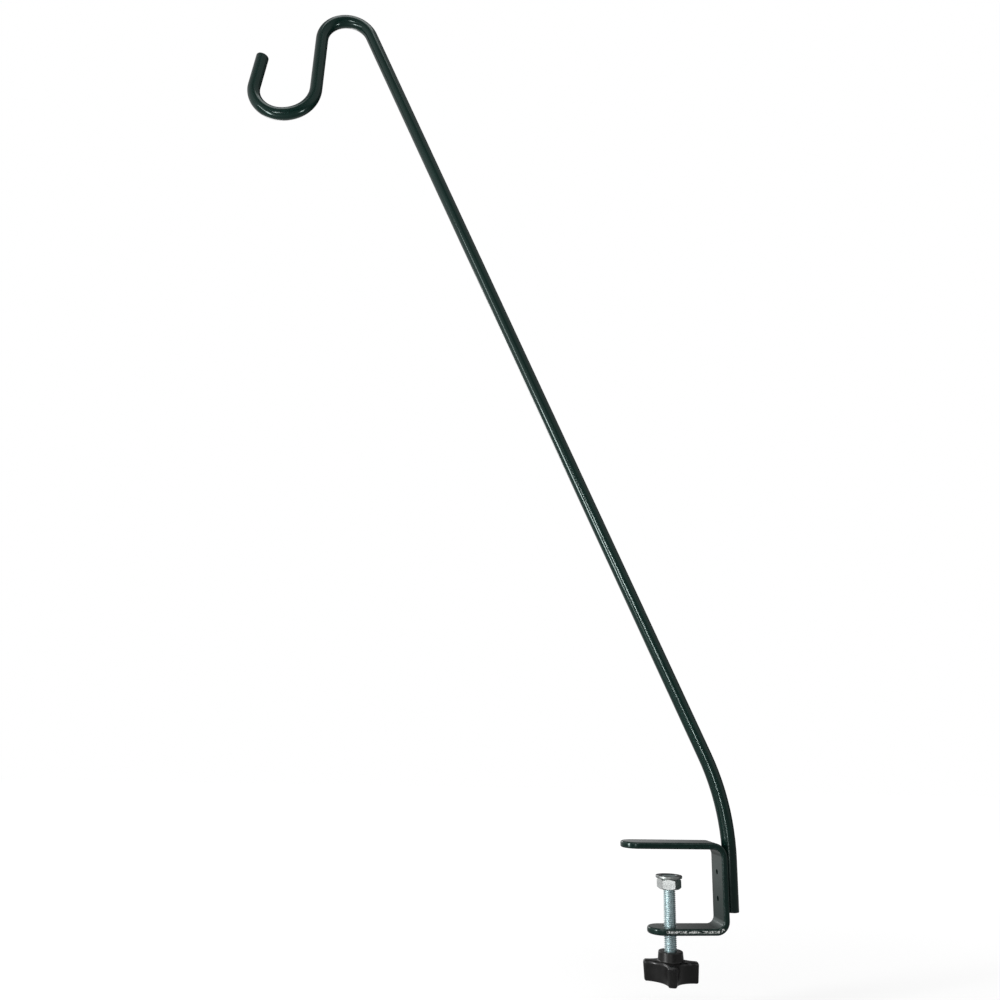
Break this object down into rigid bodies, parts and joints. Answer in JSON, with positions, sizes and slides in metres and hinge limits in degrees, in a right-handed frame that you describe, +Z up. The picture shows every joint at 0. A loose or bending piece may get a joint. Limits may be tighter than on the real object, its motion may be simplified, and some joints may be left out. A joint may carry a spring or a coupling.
{
  "type": "deck rail hook",
  "caption": "Bent round-rod hook on a C clamp that a star knob screws onto a deck rail, for hanging a planter, lantern or feeder over the edge.",
  "frame": {"origin": "on the clamp screw's axis, in the underside of the upper jaw, the face that rests on the rail", "axes": "+Z up along the screw and the leg, +X from the screw to the clamp's back wall; the hook hangs out over -X, all in the XZ plane"},
  "size_m": [0.4618, 0.0432, 0.8799],
  "materials": {
    "painted_steel": "glossy dark green-black powder coat",
    "zinc_plate": "bright zinc plate",
    "knob_plastic": "moulded black plastic, satin"
  },
  "bodies": {
    "frame": {"hook_rod": "painted_steel", "clamp_bracket": "painted_steel", "plug_weld_upper": "painted_steel", "plug_weld_lower": "painted_steel", "side_weld_front": "painted_steel", "side_weld_rear": "painted_steel"},
    "pad": {"swivel_washer": "zinc_plate"},
    "screw": {"clamp_bolt": "zinc_plate", "pressure_nut": "zinc_plate", "star_knob": "knob_plastic"}
  },
  "joints": [
    {"name": "pad_lift", "type": "slide", "parent": "frame", "child": "pad", "axis": [0, 0, 1], "range_m": [-0.0275, 0.0127]},
    {"name": "screw_turn", "type": "hinge", "parent": "pad", "child": "screw", "pos_m": [0, 0, -0.0555], "axis": [0, 0, 1], "range_deg": [-6601, 3049]}
  ],
  "couplings": [
    {"joint": "screw_turn", "follows": "pad_lift", "rad_per_m": 4188.8}
  ]
}
